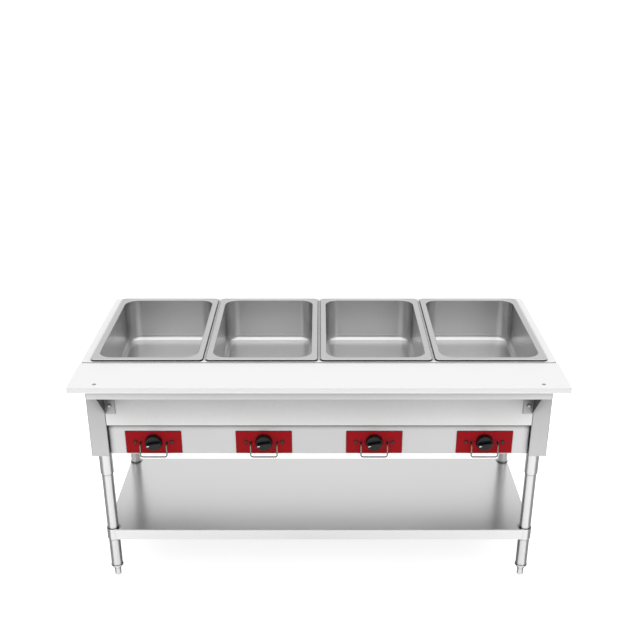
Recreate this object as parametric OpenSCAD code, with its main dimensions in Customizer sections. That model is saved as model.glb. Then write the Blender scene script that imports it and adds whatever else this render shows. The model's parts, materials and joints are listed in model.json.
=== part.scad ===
/* [Body] */
// Width of the deck and of the body
deck_w = 1470; // [1300:1:1650]
// Depth of the deck, front to back
deck_d = 564; // [500:1:640]
// Height of the deck above the floor
deck_h = 839; // [750:1:930]
// Height of the body, from its lower edge to the deck
body_h = 334; // [320:1:380]
// Thickness of the folded sheet
sheet_t = 1.5; // [1:0.1:2]
// Outside radius of the folds
fold_r = 4; // [3:0.5:6]
// Height of the deck's turned-down edge
skirt_h = 26; // [16:1:40]
// Width of the posts at the corners of the body
post_w = 58; // [54:1:70]
// Depth of the fold at the inner edge of a front post
post_return = 6; // [5:1:10]
// Depth of the control and back panels behind the posts' faces
panel_recess = 14; // [10:1:18]
// Height of the control panel, up to the front panel
control_h = 111; // [100:1:130]
// Width of the flanges that stiffen the panels
flange_w = 10; // [6:1:12]
// Lap of the control and back panels behind the posts
panel_lap = 15; // [8:1:20]

/* [Spillage pans] */
// Strip of deck beside the first and last pan
side_margin = 28.8; // [20:0.1:40]
// Strip of deck in front of the pans
front_margin = 3.2; // [2:0.1:6]
// Strip of deck behind the pans
back_margin = 15.2; // [12:0.1:30]
// Gap between the rims of neighbouring pans
rim_gap = 10; // [5:0.5:16]
// Depth of a pan, from its rim to its floor
pan_depth = 153; // [100:1:160]
// Thickness of a pan's sheet
pan_t = 1; // [0.8:0.1:1.5]
// Corner radius of a pan's walls
pan_corner_r = 45; // [40:1:60]
// Radius between a pan's walls and its floor
pan_floor_r = 17; // [15:1:36]
// Radius of the edge between a pan's rim and its walls
pan_lip_r = 3; // [2:0.5:5]
// Width of a pan's flat rim
rim_w = 18.8; // [16:0.1:20]
// Height of a pan's rim above the deck
rim_h = 6.5; // [4:0.5:8]
// Corner radius of a pan's rim
rim_corner_r = 12; // [6:1:18]
// Radius of the rim's turned-down edge
rim_edge_r = 1.5; // [1.2:0.1:2]
// Drop of the rim's turned-down edge
rim_drop = 2; // [2:0.1:3]

/* [Heat wells] */
// Room between a pan's walls and the deck's cut-out
cut_gap = 3; // [1:0.5:5]
// Step from the deck's cut-out to a heat well's walls
well_step = 1; // [0.5:0.5:3]
// Thickness of a heat well's sheet
well_t = 1; // [0.8:0.1:1.2]
// Width of a heat well's top flange
well_flange = 11; // [8:1:12]
// Room under a pan for its heating element
element_room = 60; // [45:1:70]
// Diameter of the element's tube
element_d = 8; // [6:0.5:10]
// Distance of the element's outer passes from the heat well's walls
element_side = 69; // [55:1:90]
// Distance of the element's loops from the heat well's ends
element_end = 59; // [45:1:100]
// Height of the element above the heat well's floor
element_rise = 28; // [22:1:34]
// Bend radius of the element's cold ends
cold_r = 18; // [14:1:20]
// Distance of the cold ends from the end of the loops
cold_inset = 20; // [10:1:40]
// Length of the cold ends below the heat well
cold_l = 30; // [20:1:36]
// Thickness of the clips that hold the element
clip_t = 1.5; // [1:0.1:2]
// Width of a clip's foot and its margin round the tubes
clip_margin = 8; // [5:1:12]

/* [Controls] */
// Width of a dial plate
plate_w = 180; // [160:1:200]
// Height of a dial plate
plate_h = 80; // [72:1:90]
// Thickness of a dial plate
plate_t = 1; // [0.8:0.1:2]
// Corner radius of a dial plate
plate_corner_r = 2; // [1:0.5:6]
// Height of a dial plate above the control panel's lower edge
plate_rise = 5; // [3:1:10]
// Diameter of a knob's skirt
knob_d = 55; // [45:1:60]
// Height of a knob's skirt
knob_h = 13; // [10:1:16]
// Width of a knob's grip
grip_w = 10; // [8:0.5:14]
// Height of a knob's grip above the skirt
grip_h = 12; // [8:1:16]
// Slope of the grip at the off position, in degrees
grip_angle = 10; // [0:1:45]
// Gap between a knob and its dial plate
knob_gap = 1.5; // [1:0.1:3]
// Diameter of a switch shaft
shaft_d = 6; // [5:0.1:8]
// Diameter of a switch's threaded neck
neck_d = 12; // [10:0.5:14]
// Width and height of a switch's body
switch_w = 44; // [36:1:50]
// Depth of a switch's body
switch_l = 40; // [32:1:48]
// Diameter of a lamp's lens
lamp_d = 11.5; // [11:0.5:14]
// Diameter of a lamp's barrel
barrel_d = 9.6; // [8:0.1:10.4]
// Depth of a lamp's barrel behind the dial plate
barrel_l = 28; // [20:1:36]
// Distance of the lamps from the knob's axis
lamp_offset = 59; // [56:1:66]
// Diameter of a guard's wire
guard_d = 5; // [4:0.5:6]
// Width of a guard between its legs' centres
guard_w = 85; // [76:1:90]
// Distance of a guard's wire in front of the dial plate
guard_reach = 18; // [14:1:34]
// Drop of a guard from its holes to its lower bar
guard_drop = 43; // [36:1:44]
// Bend radius of a guard's wire
guard_bend_r = 7; // [5:0.5:9]
// Length of a guard's legs behind the dial plate
guard_tail = 9; // [8:0.5:14]

/* [Cutting board] */
// Reach of the board past the deck at each end
board_over = 5; // [0:0.5:10]
// Depth of the board in front of the body
board_d = 184; // [176:1:260]
// Thickness of the board
board_t = 19; // [10:0.1:20]
// Depth of the board's top below the deck
board_drop = 2; // [0:0.5:4]
// Gap between the board and the deck's edge
board_gap = 0.5; // [0.3:0.1:2]
// Radius of the board's long edges
board_edge_r = 5; // [1:0.5:5]
// Radius of the board's corners
board_corner_r = 10; // [6:1:20]
// Thickness of the brackets and of the rail
bracket_t = 2; // [1.5:0.1:3]
// Height of a bracket
bracket_h = 158; // [130:1:180]
// Reach of a bracket's web under the board
bracket_reach = 150; // [120:1:155]
// Depth of a bracket's nose
nose_h = 10; // [6:1:16]
// Width of a bracket's flanges
bracket_flange = 32; // [26:1:40]
// Height of the rail under the board's front edge
rail_h = 26; // [24:1:45]
// Distance of the rail behind the board's front edge
rail_back = 14; // [6:1:20]
// Depth of the rail's flanges
rail_flange = 16; // [10:1:18]
// Length of the rail past the brackets
rail_over = 8; // [2:1:14]
// Distance of the board's screws behind its front edge
screw_back = 26; // [24:1:40]
// Diameter of the board's screws
screw_d = 4; // [3:0.5:5]
// Diameter of the bolts
bolt_d = 6; // [5:0.5:7]

/* [Legs and shelf] */
// Diameter of a leg's tube
leg_d = 38; // [34:1:40]
// Wall of a leg's tube
leg_t = 1.5; // [1.2:0.1:2]
// Distance of a leg's axis from the body's side
leg_inset_x = 30; // [27:1:40]
// Distance of a leg's axis from the body's front and back
leg_inset_y = 56; // [50:1:80]
// Wall of the sockets and sleeves round the legs
sleeve_t = 2.5; // [2:0.1:3]
// Length of a leg's socket below the body
socket_h = 92; // [60:1:110]
// Width of a socket's plate
socket_plate = 50; // [50:1:52]
// Thickness of a socket's plate
socket_plate_t = 3; // [2:0.5:4]
// Height of the undershelf's top above the floor
shelf_h = 196; // [150:1:260]
// Height of the undershelf's edge
shelf_edge = 39.6; // [28:0.1:50]
// Reach of the undershelf past the legs' axes
shelf_over = 19.5; // [12:0.5:20]
// Width of the hem under the undershelf's edge
hem_w = 12; // [8:1:16]
// Rise of the shelf's sleeves above its top
sleeve_rise = 1.5; // [0.5:0.5:4]
// Height of a leg's lower end above the floor
foot_h = 46; // [44:1:56]
// Diameter of a foot
foot_d = 21; // [18:1:24]
// Height of a foot below its insert
foot_l = 27; // [24:1:32]
// Diameter of an insert's collar
collar_d = 42; // [40:1:46]
// Height of an insert's collar
collar_h = 4; // [2:0.5:6]
// Depth of an insert in its leg
insert_l = 34; // [30:1:50]
// Diameter of a foot's stud
stud_d = 12; // [10:0.5:14]
// Length of a foot's stud
stud_l = 44; // [36:1:46]

/* [Supply] */
// Bore of the cable gland
gland_bore_d = 12; // [8:0.5:14]
// Diameter of the gland's nuts
gland_d = 26; // [22:1:32]
// Length of the gland outside the back panel
gland_out = 13; // [8:0.5:13]
// Length of the gland inside the back panel
gland_in = 10; // [8:0.5:16]
// Height of the gland above the body's lower edge
gland_rise = 55; // [30:1:90]
// Distance of the gland from the post beside it
gland_inset = 32; // [20:1:60]
// Distance of the terminal block from the body's side
block_inset = 90; // [88:1:110]
// Length of the terminal block
block_l = 34; // [28:1:36]
// Width of the terminal block
block_w = 26; // [20:1:28]
// Height of the terminal block
block_h = 44; // [38:1:54]
// Diameter of the wiring loom's trunk
loom_d = 10; // [8:0.5:12]
// Diameter of the loom's branches
branch_d = 6; // [4:0.5:7]
// Height of the loom above the body's lower edge
loom_rise = 32; // [30:1:36]

/* [Hidden] */
$fn = 64;
well_count = 4;
wells = [1 : well_count];
corners = [1, 2, 3, 4];

// Clearances
seam = 0.3;
seat_gap = 0.3;
run_gap = 0.05;
slip_gap = 0.08;
hole_gap = 0.2;
leg_gap = 0.3;
bolt_gap = 0.3;
cold_gap = 1;

// Places of the body
front_y = (board_d - deck_d) / 2;
back_y = front_y + deck_d;
deck_y = (front_y + back_y) / 2;
half_w = deck_w / 2;
body_z = deck_h - body_h;
wall_top_z = deck_h - skirt_h;
deck_under_z = deck_h - sheet_t;
panel_half = half_w - post_w;
control_y = front_y + panel_recess;
back_face_y = back_y - panel_recess;
floor_z = body_z + sheet_t;
deck_corner_r = 1.5 * fold_r;

// Places of the wells
well_pitch = (deck_w - 2 * side_margin + rim_gap) / well_count;
rim_outer_w = well_pitch - rim_gap;
rim_outer_l = deck_d - front_margin - back_margin;
pan_w = rim_outer_w - 2 * rim_w;
pan_l = rim_outer_l - 2 * rim_w;
well_y = front_y + front_margin + rim_outer_l / 2;
cut_grow = pan_t + cut_gap;
upstand_h = rim_h - pan_t - seat_gap;
well_grow = cut_grow + well_step;
well_w = pan_w + 2 * well_grow;
well_l = pan_l + 2 * well_grow;
well_floor_z = deck_h + rim_h - pan_depth - pan_t - element_room;
element_z = well_floor_z + element_rise;
passes = 4;
cold_x = well_w / 2 - element_side;
element_pitch = 2 * cold_x / (passes - 1);
element_l = well_l - 2 * element_end;
loop_half = (element_l - element_pitch) / 2;
cold_y = element_l / 2 - cold_inset;
cold_end_z = well_floor_z - well_t - cold_l;

// Places of the controls
control_z = body_z + plate_rise + plate_h / 2;
plate_face_y = control_y - plate_t;
knob_y = plate_face_y - knob_gap;
panel_back_y = control_y + sheet_t;
guard_rise = -2;
guard_hole_d = guard_d + 2 * hole_gap;
nut_h = 4;
nut_grow = 4;

// Places of the board
board_w = deck_w + 2 * board_over;
board_under_z = deck_h - board_drop - board_t;
board_front_y = front_y - board_d;
bracket_len = board_d - rail_back - bracket_t;
rail_y = board_front_y + rail_back;
bolt_x = panel_half - bracket_flange / 2;
bolt_low = 28;
bolt_high = 40;
bolt_low_z = board_under_z - bracket_h + bolt_low;
bolt_high_z = board_under_z - bolt_high;
screw_y = board_front_y + screw_back;
head_h = 4;

// Places of the legs
leg_x = half_w - leg_inset_x;
leg_front_y = front_y + leg_inset_y;
leg_back_y = back_y - leg_inset_y;
leg_spots = [for (y = [leg_front_y, leg_back_y], x = [-leg_x, leg_x]) [x, y]];
sleeve_bore_d = leg_d + 2 * leg_gap;
sleeve_d = sleeve_bore_d + 2 * sleeve_t;
leg_short = 5;
leg_top_z = body_z - leg_short;
socket_low_z = body_z - socket_h;
shelf_low_z = shelf_h - shelf_edge;
shelf_w = 2 * (leg_x + shelf_over);
shelf_l = leg_back_y - leg_front_y + 2 * shelf_over;
shelf_y = (leg_back_y + leg_front_y) / 2;
plate_bolt = 20;
set_screw_d = 6;
set_screw_out = 2;
socket_screw_z = body_z - socket_h / 2;
shelf_screw_z = shelf_h - shelf_edge / 2;

// Places of the supply
loom_y = well_y - cold_y;
loom_z = body_z + loom_rise;
block_x = half_w - block_inset;
gland_x = panel_half - gland_inset;
gland_z = body_z + gland_rise;

// Distance of a well's centre to the right of the middle
function well_x(i) = (i - (well_count + 1) / 2) * well_pitch;

// Flat outlines

module rounded_rect(w, l, r) {
    square([w - 2 * r, l], center = true);
    square([w, l - 2 * r], center = true);
    for (x = [-1, 1], y = [-1, 1])
        translate([x * (w / 2 - r), y * (l / 2 - r)])
            circle(r);
}

module quarter_ring(r, t) {
    intersection() {
        difference() {
            circle(r);
            circle(r - t);
        }
        square(2 * r);
    }
}

// Folded sheet with one bend: a leg of length h up and a leg of length depth across
module angle_section(h, depth, t, r) {
    translate([0, r])
        square([t, h - r]);
    translate([r, 0])
        square([depth - r, t]);
    translate([r, r])
        rotate(180)
            quarter_ring(r, t);
}

// Folded sheet with a flange at each end of a face of length h
module channel_section(h, depth, t, r) {
    angle_section(h / 2, depth, t, r);
    translate([0, h])
        mirror([0, 1])
            angle_section(h / 2, depth, t, r);
}

// Holes of one set of controls, centred on the knob's axis
module control_holes() {
    circle(d = neck_d + 2 * hole_gap);
    for (s = [-1, 1]) {
        translate([s * lamp_offset, 0])
            circle(d = barrel_d + 2 * hole_gap);
        translate([s * guard_w / 2, guard_rise])
            circle(d = guard_hole_d);
    }
}

// Ways of carrying a section

// Along X, with the section's x towards the back and its y up
module along_x(length) {
    rotate([90, 0, 90])
        linear_extrude(length, center = true)
            children();
}

// Forward from a plane, with the section's y up
module forward(length) {
    rotate([90, 0, 0])
        linear_extrude(length)
            children();
}

// Round a rectangle: along its four sides and round its four corners
module swept_round(half_x, half_y) {
    for (k = [0 : 3]) {
        across = k % 2 == 0 ? half_x : half_y;
        along = k % 2 == 0 ? half_y : half_x;
        rotate(90 * k) {
            translate([across, 0, 0])
                rotate([90, 0, 0])
                    linear_extrude(2 * along, center = true)
                        children();
            translate([across, along, 0])
                rotate_extrude(angle = 90)
                    children();
        }
    }
}

// Edge of a sheet of size w by l, turned down all round, with its top at zero
module turned_edge(w, l, corner_r, edge_r, t, drop) {
    swept_round(w / 2 - corner_r, l / 2 - corner_r) {
        translate([corner_r - edge_r, -edge_r])
            quarter_ring(edge_r, t);
        translate([corner_r - t, -drop])
            square([t, drop - edge_r]);
    }
}

// Quarter of a bent tube, from +X round to +Y
module tube_bend(r, d, angle = 90) {
    rotate_extrude(angle = angle)
        translate([r, 0])
            circle(d = d);
}

// Hexagon bolt along +Z from the underside of its head, with its nut at distance grip
module bolt(d, grip) {
    translate([0, 0, -head_h])
        cylinder(d = d + nut_grow, h = head_h, $fn = 6);
    cylinder(d = d, h = grip);
    translate([0, 0, grip])
        cylinder(d = d + nut_grow, h = nut_h, $fn = 6);
}

// Body panels

// Outline round a pan's walls at a distance
module well_outline(grow) {
    rounded_rect(pan_w + 2 * grow, pan_l + 2 * grow, pan_corner_r + grow);
}

// Top sheet with an upstand round each cut-out, on which a pan's rim rests
module deck_top() {
    color("gainsboro")
        translate([0, deck_y, deck_h]) {
            turned_edge(deck_w, deck_d, deck_corner_r, fold_r, sheet_t, skirt_h);
            translate([0, 0, -sheet_t])
                linear_extrude(sheet_t)
                    difference() {
                        rounded_rect(deck_w - 2 * fold_r, deck_d - 2 * fold_r, deck_corner_r - fold_r);
                        for (i = wells)
                            translate([well_x(i), well_y - deck_y])
                                well_outline(cut_grow);
                    }
            for (i = wells)
                translate([well_x(i), well_y - deck_y, -sheet_t])
                    linear_extrude(sheet_t + upstand_h)
                        difference() {
                            well_outline(cut_grow + sheet_t);
                            well_outline(cut_grow);
                        }
        }
}

module front_panel() {
    low_z = body_z + control_h;
    color("lightgray")
        difference() {
            translate([0, front_y, low_z])
                along_x(2 * (panel_half - seam))
                    angle_section(wall_top_z - low_z, panel_recess, sheet_t, fold_r);
            for (x = [-bolt_x, bolt_x], z = [bolt_low_z, bolt_high_z])
                translate([x, front_y + fold_r, z])
                    forward(2 * fold_r)
                        circle(d = bolt_d + 2 * bolt_gap);
        }
}

module control_panel() {
    color("lightgray")
        difference() {
            translate([0, control_y, body_z])
                along_x(2 * (panel_half + panel_lap))
                    angle_section(control_h + 2 * fold_r, flange_w, sheet_t, fold_r);
            for (i = wells)
                translate([well_x(i), control_y + fold_r, control_z])
                    forward(2 * fold_r)
                        control_holes();
        }
}

// End panel on the right: one sheet folded into a post at the front and at the back
module end_panel() {
    color("lightgray")
        translate([half_w - post_w / 2, deck_y, body_z])
            linear_extrude(wall_top_z - body_z)
                difference() {
                    rounded_rect(post_w, deck_d, fold_r);
                    rounded_rect(post_w - 2 * sheet_t, deck_d - 2 * sheet_t, fold_r - sheet_t);
                    translate([-post_w / 2 - sheet_t, post_return - deck_d / 2])
                        square([4 * sheet_t, deck_d - post_return - panel_recess]);
                }
}

module end_panel_left() {
    mirror([1, 0, 0])
        end_panel();
}

module end_panel_right() {
    end_panel();
}

module back_panel() {
    color("lightgray")
        difference() {
            translate([0, back_face_y, body_z])
                mirror([0, 1, 0])
                    along_x(2 * (panel_half + panel_lap))
                        channel_section(wall_top_z - body_z, flange_w, sheet_t, fold_r);
            translate([gland_x, back_y, gland_z])
                forward(2 * panel_recess)
                    circle(d = gland_d - 2 * nut_grow + 2 * hole_gap);
        }
}

module bottom_panel() {
    panel_l = back_face_y - control_y - 2 * (sheet_t + seam);
    panel_w = deck_w - 2 * (sheet_t + seam);
    color("darkgray")
        difference() {
            translate([0, deck_y - panel_l / 2, floor_z])
                along_x(panel_w)
                    mirror([1, -1])
                        channel_section(panel_l, flange_w, sheet_t, fold_r);
            for (spot = leg_spots)
                translate([spot.x, spot.y, 0])
                    plate_bolt_spots()
                        cylinder(d = bolt_d + 2 * bolt_gap, h = deck_h);
        }
}

// Spillage pans

// Wall of a pan from the inner edge of its rim to the middle of its floor
module pan_section() {
    translate([pan_corner_r + pan_lip_r, -pan_lip_r])
        mirror([1, 0])
            quarter_ring(pan_lip_r, pan_t);
    translate([pan_corner_r, pan_floor_r - pan_depth])
        square([pan_t, pan_depth - pan_floor_r - pan_lip_r]);
    translate([pan_corner_r - pan_floor_r, pan_floor_r - pan_depth])
        mirror([0, 1])
            quarter_ring(pan_floor_r + pan_t, pan_t);
    translate([0, -pan_depth - pan_t])
        square([pan_corner_r - pan_floor_r, pan_t]);
}

module spillage_pan(i) {
    half_x = pan_w / 2 - pan_corner_r;
    half_y = pan_l / 2 - pan_corner_r;
    flat_w = rim_outer_w - 2 * rim_edge_r;
    flat_l = rim_outer_l - 2 * rim_edge_r;
    color("silver")
        translate([well_x(i), well_y, deck_h + rim_h]) {
            turned_edge(rim_outer_w, rim_outer_l, rim_corner_r, rim_edge_r, pan_t, rim_drop);
            translate([0, 0, -pan_t])
                linear_extrude(pan_t)
                    difference() {
                        rounded_rect(flat_w, flat_l, rim_corner_r - rim_edge_r);
                        rounded_rect(pan_w + 2 * pan_lip_r, pan_l + 2 * pan_lip_r,
                            pan_corner_r + pan_lip_r);
                    }
            swept_round(half_x, half_y)
                pan_section();
            translate([-half_x, -half_y, -pan_depth - pan_t])
                cube([2 * half_x, 2 * half_y, pan_t]);
        }
}

// Heat wells and elements

module heat_well(i) {
    outer_w = well_w + 2 * well_t;
    outer_l = well_l + 2 * well_t;
    color("darkgray")
        translate([well_x(i), well_y, 0])
            difference() {
                union() {
                    translate([0, 0, well_floor_z - well_t])
                        linear_extrude(deck_under_z - well_floor_z + well_t)
                            rounded_rect(outer_w, outer_l, fold_r);
                    translate([0, 0, deck_under_z - well_t])
                        linear_extrude(well_t)
                            rounded_rect(outer_w + 2 * well_flange, outer_l + 2 * well_flange, fold_r);
                }
                translate([0, 0, well_floor_z])
                    linear_extrude(deck_h - well_floor_z)
                        rounded_rect(well_w, well_l, fold_r - well_t);
                for (x = [-cold_x, cold_x])
                    translate([x, -cold_y, well_floor_z - 2 * well_t])
                        cylinder(d = element_d + 2 * cold_gap, h = 3 * well_t);
            }
}

// Tube bent into four passes, with both cold ends turned down through the heat well's floor
module heating_element(i) {
    color("dimgray")
        translate([well_x(i), well_y, element_z]) {
            for (x = [-element_pitch / 2, element_pitch / 2])
                translate([x, loop_half, 0])
                    rotate([90, 0, 0])
                        cylinder(d = element_d, h = 2 * loop_half);
            for (x = [-cold_x, cold_x]) {
                translate([x, loop_half, 0])
                    rotate([90, 0, 0])
                        cylinder(d = element_d, h = loop_half + cold_y - cold_r);
                translate([x, cold_r - cold_y, -cold_r])
                    rotate([90, 0, -90])
                        tube_bend(cold_r, element_d);
                translate([x, -cold_y, cold_end_z - element_z])
                    cylinder(d = element_d, h = element_z - cold_r - cold_end_z);
            }
            for (x = [-element_pitch, element_pitch])
                translate([x, loop_half, 0])
                    tube_bend(element_pitch / 2, element_d, 180);
            translate([0, -loop_half, 0])
                rotate(180)
                    tube_bend(element_pitch / 2, element_d, 180);
        }
}

module element_clips() {
    clip_w = 2 * cold_x + element_d + 2 * clip_margin;
    clip_h = element_rise + element_d / 2 + clip_margin;
    color("darkgray")
        for (i = wells, y = [-element_l / 4, element_l / 4])
            translate([well_x(i), well_y + y, well_floor_z])
                difference() {
                    along_x(clip_w)
                        angle_section(clip_h, 2 * clip_margin, clip_t, 2 * clip_t);
                    for (k = [0 : passes - 1])
                        translate([k * element_pitch - cold_x, 2 * clip_t, element_rise])
                            forward(4 * clip_t)
                                circle(d = element_d + 2 * hole_gap);
                }
}

// Controls

module dial_plates() {
    color("firebrick")
        for (i = wells)
            translate([well_x(i), control_y, control_z])
                forward(plate_t)
                    difference() {
                        rounded_rect(plate_w, plate_h, plate_corner_r);
                        control_holes();
                    }
}

// Half outline of a knob's skirt: a slight taper and a rounded front edge
module skirt_section() {
    edge_r = 2.5;
    taper = 2;
    front_r = knob_d / 2 - taper;
    polygon([
        [0, 0],
        [knob_d / 2, 0],
        [knob_d / 2, edge_r],
        [front_r, knob_h - edge_r],
        [front_r - edge_r, knob_h],
        [0, knob_h]
    ]);
    translate([front_r - edge_r, knob_h - edge_r])
        circle(edge_r);
}

module knob(i) {
    grip_inset = 4;
    grip_l = knob_d - 2 * grip_inset;
    top = knob_h + grip_h;
    color("dimgray")
        translate([well_x(i), knob_y, control_z])
            rotate([90, 0, 0])
                difference() {
                    union() {
                        rotate_extrude()
                            skirt_section();
                        rotate(grip_angle)
                            intersection() {
                                linear_extrude(top)
                                    rounded_rect(grip_l, grip_w, grip_w / 2 - seam);
                                translate([0, 0, top / 2])
                                    along_x(grip_l)
                                        rounded_rect(grip_w, top, grip_w / 4);
                            }
                    }
                    cylinder(d = shaft_d + 2 * run_gap, h = knob_h + grip_h / 2);
                }
}

module switch_shaft(i) {
    tip = knob_gap + plate_t + sheet_t + switch_l / 2;
    color("silver")
        translate([well_x(i), knob_y + tip, control_z])
            rotate([90, 0, 0])
                cylinder(d = shaft_d, h = tip + knob_h + grip_h / 2 - seam);
}

module switch_bodies() {
    end_room = 2;
    bore_l = plate_t + sheet_t + switch_l / 2 + end_room;
    color("black")
        for (i = wells)
            translate([well_x(i), panel_back_y, control_z])
                difference() {
                    union() {
                        translate([0, switch_l, 0])
                            forward(switch_l)
                                rounded_rect(switch_w, switch_w, fold_r);
                        forward(sheet_t + plate_t)
                            circle(d = neck_d);
                    }
                    translate([0, bore_l - plate_t - sheet_t, 0])
                        forward(bore_l + seam)
                            circle(d = shaft_d + 2 * run_gap);
                }
}

// Wire guard round the lower half of a knob, with its legs through the panel
module knob_guard(i) {
    tail_y = panel_back_y + guard_tail - plate_face_y;
    leg_l = guard_drop - 2 * guard_bend_r;
    color("silver")
        translate([well_x(i), plate_face_y, control_z + guard_rise]) {
            for (s = [0, 1])
                mirror([s, 0, 0])
                    translate([guard_w / 2, 0, 0]) {
                        translate([0, tail_y, 0])
                            rotate([90, 0, 0])
                                cylinder(d = guard_d, h = tail_y + guard_reach - guard_bend_r);
                        translate([0, guard_bend_r - guard_reach, -guard_bend_r])
                            rotate([90, 0, -90])
                                tube_bend(guard_bend_r, guard_d);
                        translate([0, -guard_reach, -guard_bend_r - leg_l])
                            cylinder(d = guard_d, h = leg_l);
                        translate([-guard_bend_r, -guard_reach, guard_bend_r - guard_drop])
                            rotate([-90, 0, 0])
                                tube_bend(guard_bend_r, guard_d);
                    }
            translate([guard_bend_r - guard_w / 2, -guard_reach, -guard_drop])
                rotate([0, 90, 0])
                    cylinder(d = guard_d, h = guard_w - 2 * guard_bend_r);
        }
}

module guard_nuts() {
    color("silver")
        for (i = wells, s = [-1, 1])
            translate([well_x(i) + s * guard_w / 2, panel_back_y + nut_h, control_z + guard_rise])
                forward(nut_h)
                    difference() {
                        circle(d = guard_d + nut_grow, $fn = 6);
                        circle(d = guard_d + 2 * run_gap);
                    }
}

// Lamp with a domed lens and a barrel behind it, on the given side of each knob
module lamps(side) {
    dome_h = 4;
    dome_r = (dome_h * dome_h + lamp_d * lamp_d / 4) / (2 * dome_h);
    for (i = wells)
        translate([well_x(i) + side * lamp_offset, plate_face_y, control_z])
            rotate([90, 0, 0]) {
                intersection() {
                    translate([0, 0, dome_h - dome_r])
                        sphere(dome_r);
                    cylinder(d = 2 * lamp_d, h = dome_h);
                }
                translate([0, 0, -barrel_l])
                    cylinder(d = barrel_d, h = barrel_l);
            }
}

module pilot_lamps() {
    color("orangered")
        lamps(-1);
}

module power_lamps() {
    color("darkgreen")
        lamps(1);
}

// Cutting board and its supports

module cutting_board() {
    depth = board_d - board_gap;
    mid_y = board_front_y + depth / 2;
    color("white")
        difference() {
            intersection() {
                translate([0, mid_y, board_under_z + board_t / 2])
                    along_x(board_w)
                        rounded_rect(depth, board_t, board_edge_r);
                translate([0, mid_y + depth / 2, board_under_z + board_t / 2])
                    forward(depth)
                        rounded_rect(board_w, board_t, board_edge_r);
                translate([0, mid_y, board_under_z])
                    linear_extrude(board_t)
                        rounded_rect(board_w, depth, board_corner_r);
            }
            for (x = [-bolt_x, bolt_x])
                translate([x, screw_y, board_under_z]) {
                    cylinder(d = screw_d + 2 * hole_gap, h = board_t);
                    translate([0, 0, board_t - screw_d])
                        cylinder(r1 = screw_d / 2 + hole_gap, r2 = 1.5 * screw_d + hole_gap, h = screw_d);
                }
        }
}

module board_screws() {
    color("silver")
        for (x = [-bolt_x, bolt_x])
            translate([x, screw_y, board_under_z - bracket_t]) {
                cylinder(d = screw_d, h = board_t + bracket_t - screw_d / 2);
                translate([0, 0, board_t + bracket_t - screw_d])
                    cylinder(r1 = screw_d / 2, r2 = 1.5 * screw_d, h = screw_d - hole_gap);
                translate([0, 0, -nut_h])
                    cylinder(d = screw_d + nut_grow, h = nut_h, $fn = 6);
            }
}

// Channel under the board's front edge, cut away at its ends over the brackets
module board_rail() {
    clear_x = panel_half - bracket_flange - seam;
    rail_half = panel_half + rail_over;
    color("lightgray")
        difference() {
            translate([0, rail_y, board_under_z - rail_h])
                along_x(2 * rail_half)
                    channel_section(rail_h, rail_flange, bracket_t, fold_r);
            for (s = [0, 1])
                mirror([s, 0, 0])
                    translate([clear_x, rail_y + bracket_t, board_under_z - rail_h / 2])
                        cube([rail_half, rail_flange, rail_h]);
        }
}

// Right-hand bracket: a three-cornered web with one flange on the panel and one under the board
module bracket() {
    color("lightgray")
        difference() {
            intersection() {
                union() {
                    translate([panel_half, front_y, board_under_z - bracket_h])
                        linear_extrude(bracket_h)
                            rotate(180)
                                angle_section(bracket_len, bracket_flange, bracket_t, fold_r);
                    translate([panel_half, front_y, board_under_z])
                        forward(bracket_len)
                            rotate(180)
                                angle_section(bracket_h, bracket_flange, bracket_t, fold_r);
                }
                translate([panel_half, front_y, board_under_z])
                    along_x(4 * bracket_flange)
                        polygon([
                            [0, 0],
                            [-bracket_len, 0],
                            [-bracket_len, -bracket_t],
                            [-bracket_reach, -nose_h],
                            [-bracket_t, -bracket_h],
                            [0, -bracket_h]
                        ]);
            }
            for (z = [bolt_low_z, bolt_high_z])
                translate([bolt_x, front_y + bracket_t, z])
                    forward(3 * bracket_t)
                        circle(d = bolt_d + 2 * bolt_gap);
            translate([bolt_x, screw_y, board_under_z - 2 * bracket_t])
                cylinder(d = screw_d + 2 * hole_gap, h = 3 * bracket_t);
        }
}

module bracket_left() {
    mirror([1, 0, 0])
        bracket();
}

module bracket_right() {
    bracket();
}

module bracket_bolts() {
    color("silver")
        for (x = [-bolt_x, bolt_x], z = [bolt_low_z, bolt_high_z])
            translate([x, front_y - bracket_t, z])
                rotate([-90, 0, 0])
                    bolt(bolt_d, bracket_t + sheet_t);
}

// Legs and shelf

// Four places round a leg's axis where its socket is bolted
module plate_bolt_spots() {
    for (x = [-plate_bolt, plate_bolt], y = [-plate_bolt, plate_bolt])
        translate([x, y, 0])
            children();
}

// Hole or screw that points from a leg's axis to the back
module set_screw(d, from, to) {
    translate([0, to, 0])
        rotate([90, 0, 0])
            cylinder(d = d, h = to - from);
}

module leg_sockets() {
    color("silver")
        for (spot = leg_spots)
            translate([spot.x, spot.y, 0])
                difference() {
                    union() {
                        translate([0, 0, socket_low_z])
                            cylinder(d = sleeve_d, h = floor_z - socket_low_z);
                        translate([0, 0, floor_z - socket_plate_t])
                            linear_extrude(socket_plate_t)
                                rounded_rect(socket_plate, socket_plate, fold_r);
                    }
                    cylinder(d = sleeve_bore_d, h = leg_top_z + leg_gap);
                    translate([0, 0, body_z - socket_plate_t])
                        plate_bolt_spots()
                            cylinder(d = bolt_d + 2 * bolt_gap, h = 4 * socket_plate_t);
                    translate([0, 0, socket_screw_z])
                        set_screw(set_screw_d + 2 * run_gap, 0, sleeve_d);
                }
}

module socket_bolts() {
    color("silver")
        for (spot = leg_spots)
            translate([spot.x, spot.y, floor_z - socket_plate_t])
                plate_bolt_spots()
                    bolt(bolt_d, socket_plate_t + sheet_t);
}

module set_screws() {
    color("dimgray")
        for (spot = leg_spots, z = [socket_screw_z, shelf_screw_z])
            translate([spot.x, spot.y, z])
                set_screw(set_screw_d, leg_d / 2, sleeve_d / 2 + set_screw_out);
}

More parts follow.
